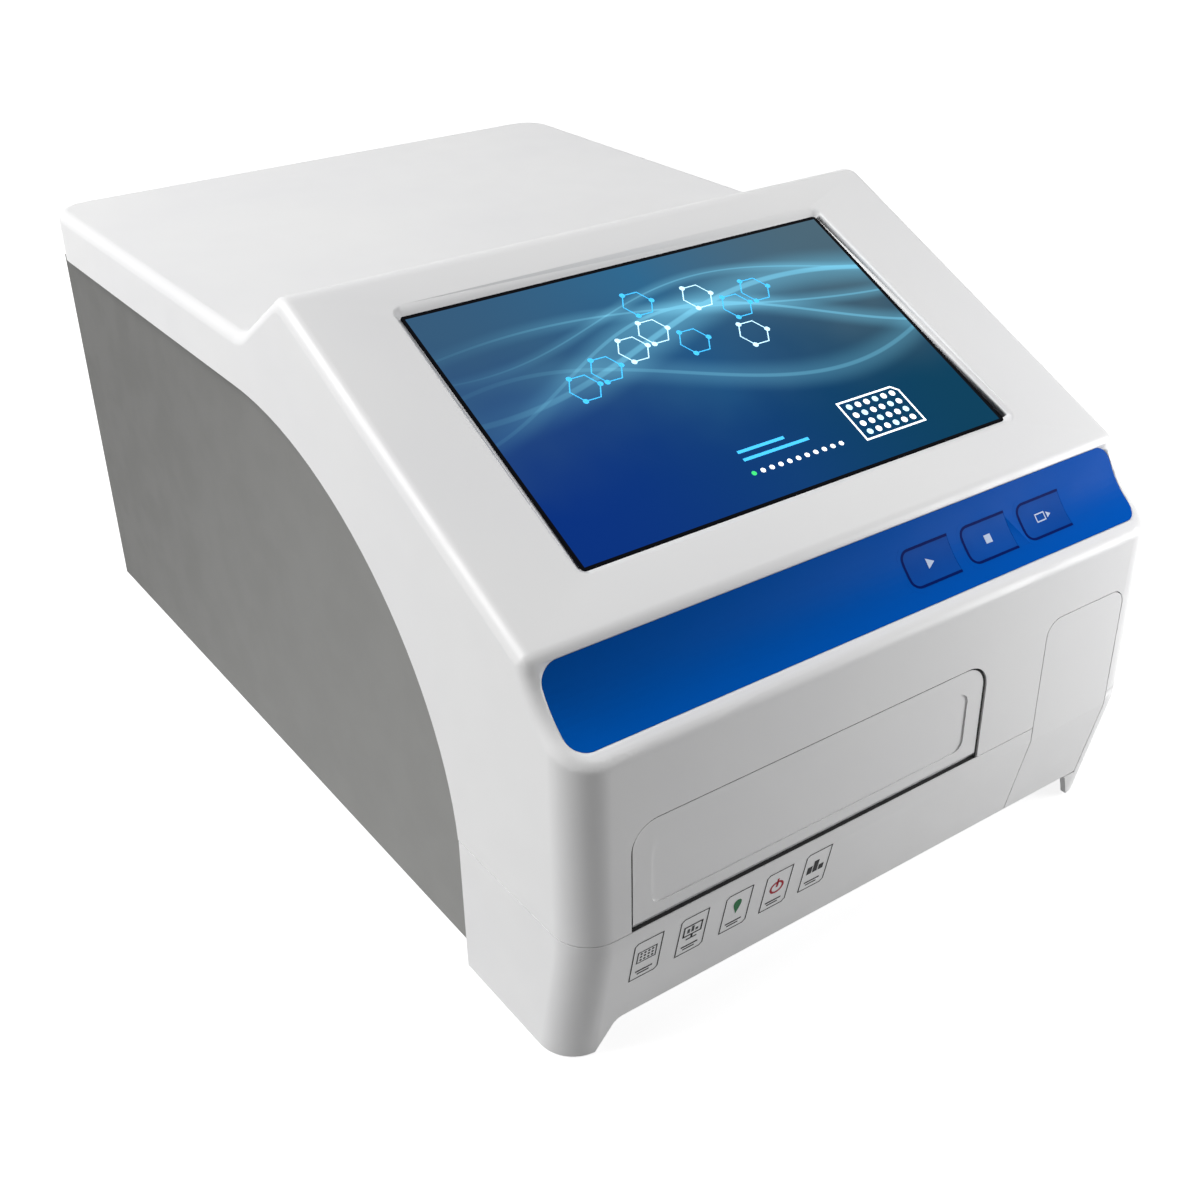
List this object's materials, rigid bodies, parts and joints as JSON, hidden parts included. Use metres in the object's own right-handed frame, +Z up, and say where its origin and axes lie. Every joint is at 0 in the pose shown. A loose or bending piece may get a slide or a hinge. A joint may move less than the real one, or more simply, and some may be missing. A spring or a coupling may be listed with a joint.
{
  "type": "microplate reader",
  "caption": "Benchtop microplate reader with a tilted touch screen, a motor-driven plate carrier behind a flap, press keys and a service cover.",
  "frame": {"origin": "centre of the footprint's bounding box, on the bench surface", "axes": "+Z up, front with the plate flap faces -Y, the length runs along Y, +X is to the right seen from the front"},
  "size_m": [0.305, 0.4816, 0.2575],
  "materials": {
    "shell_white": "satin",
    "panel_blue": "gloss",
    "key_blue": "gloss",
    "panel_grey": "matte",
    "tray_metal": "satin",
    "feet_rubber": "matte",
    "gasket_rubber": "matte",
    "belt_rubber": "matte",
    "screen_glass": "gloss",
    "clear_glass": "gloss",
    "circuit_board": "satin",
    "black_plastic": "matte",
    "carrier_plastic": "matte",
    "supply_case": "satin",
    "steel": "satin",
    "port_metal": "satin",
    "motor_metal": "satin",
    "brass": "satin",
    "bare_aluminium": "satin",
    "black_metal": "matte"
  },
  "bodies": {
    "chassis": {"upper_shell": "shell_white", "front_base": "shell_white", "side_panel_left": "panel_grey", "side_panel_right": "panel_grey", "rear_panel": "panel_grey", "chassis_tray": "tray_metal", "rubber_feet": "feet_rubber", "service_cover": "shell_white", "control_panel": "panel_blue", "keypad_board": "circuit_board", "key_switches": "black_plastic", "touch_glass": "screen_glass", "display_gasket": "gasket_rubber", "lcd_module": "black_plastic", "display_bracket": "bare_aluminium", "display_board": "circuit_board", "door_spring": "steel", "guide_rods": "steel", "rod_block_front": "bare_aluminium", "rod_block_rear": "bare_aluminium", "drive_belt": "belt_rubber", "drive_motor": "motor_metal", "motor_bracket": "bare_aluminium", "idler_bracket": "bare_aluminium", "optics_deck": "bare_aluminium", "read_head": "black_metal", "head_lenses": "clear_glass", "detector_block": "black_metal", "detector_board": "circuit_board", "monochromator_case": "black_metal", "monochromator_lid": "black_metal", "grating_motor": "motor_metal", "filter_motor": "motor_metal", "lamp_housing": "bare_aluminium", "flash_lamp": "clear_glass", "fibre_bundle": "black_plastic", "main_board": "circuit_board", "data_ports": "port_metal", "power_supply": "supply_case", "fan_frame": "black_plastic", "power_inlet": "black_plastic", "inlet_pins": "steel", "switch_housing": "black_plastic", "rear_screws": "steel"},
    "carrier": {"plate_carrier": "carrier_plastic", "plate_spring": "steel", "carrier_bushes": "brass", "belt_clamp": "black_plastic"},
    "door": {"plate_door": "shell_white", "door_hinge_pins": "steel"},
    "drive_wheel": {"drive_pulley": "bare_aluminium", "drive_shaft": "steel"},
    "idler_wheel": {"idler_pulley": "bare_aluminium"},
    "start_key": {"key_start": "key_blue"},
    "stop_key": {"key_stop": "key_blue"},
    "plate_key": {"key_plate": "key_blue"},
    "rocker": {"switch_rocker": "black_plastic"},
    "fan": {"fan_rotor": "black_plastic"},
    "grating": {"grating_table": "bare_aluminium"},
    "filters": {"filter_wheel": "bare_aluminium"}
  },
  "joints": [
    {"name": "plate_slide", "type": "slide", "parent": "chassis", "child": "carrier", "axis": [0, -1, 0], "range_m": [0, 0.27]},
    {"name": "door_hinge", "type": "hinge", "parent": "chassis", "child": "door", "pos_m": [-0.0379, -0.237, 0.07015], "axis": [1, 0, 0], "range_deg": [0, 90]},
    {"name": "drive_pulley_spin", "type": "hinge", "parent": "chassis", "child": "drive_wheel", "pos_m": [0.0461, 0.1908, 0.084], "axis": [1, 0, 0], "range_deg": [0, 1740]},
    {"name": "idler_spin", "type": "hinge", "parent": "chassis", "child": "idler_wheel", "pos_m": [0.0461, -0.2068, 0.084], "axis": [1, 0, 0], "range_deg": [0, 1740]},
    {"name": "start_key_press", "type": "hinge", "parent": "chassis", "child": "start_key", "pos_m": [0.0453, -0.22095, 0.15872], "axis": [0, -0.6428, -0.766], "range_deg": [0, 3.4], "stiffness_Nm_per_rad": 0.6},
    {"name": "stop_key_press", "type": "hinge", "parent": "chassis", "child": "stop_key", "pos_m": [0.0783, -0.22095, 0.15872], "axis": [0, -0.6428, -0.766], "range_deg": [0, 3.4], "stiffness_Nm_per_rad": 0.6},
    {"name": "plate_key_press", "type": "hinge", "parent": "chassis", "child": "plate_key", "pos_m": [0.1113, -0.22095, 0.15872], "axis": [0, -0.6428, -0.766], "range_deg": [0, 3.4], "stiffness_Nm_per_rad": 0.6},
    {"name": "rocker_tip", "type": "hinge", "parent": "chassis", "child": "rocker", "pos_m": [-0.046, 0.2335, 0.06], "axis": [1, 0, 0], "range_deg": [0, 16]},
    {"name": "fan_spin", "type": "hinge", "parent": "chassis", "child": "fan", "pos_m": [0.088, 0.2285, 0.16], "axis": [0, 1, 0], "continuous": true},
    {"name": "grating_turn", "type": "hinge", "parent": "chassis", "child": "grating", "pos_m": [-0.0985, 0.1108, 0.1445], "axis": [0, 0, 1], "range_deg": [-20, 20]},
    {"name": "filter_wheel_spin", "type": "hinge", "parent": "chassis", "child": "filters", "pos_m": [-0.025, 0.1358, 0.155], "axis": [1, 0, 0], "continuous": true}
  ],
  "couplings": [
    {"joint": "door_hinge", "follows": "plate_slide", "rad_per_m": 5.8177},
    {"joint": "drive_pulley_spin", "follows": "plate_slide", "rad_per_m": 112.36},
    {"joint": "idler_spin", "follows": "plate_slide", "rad_per_m": 112.36}
  ]
}
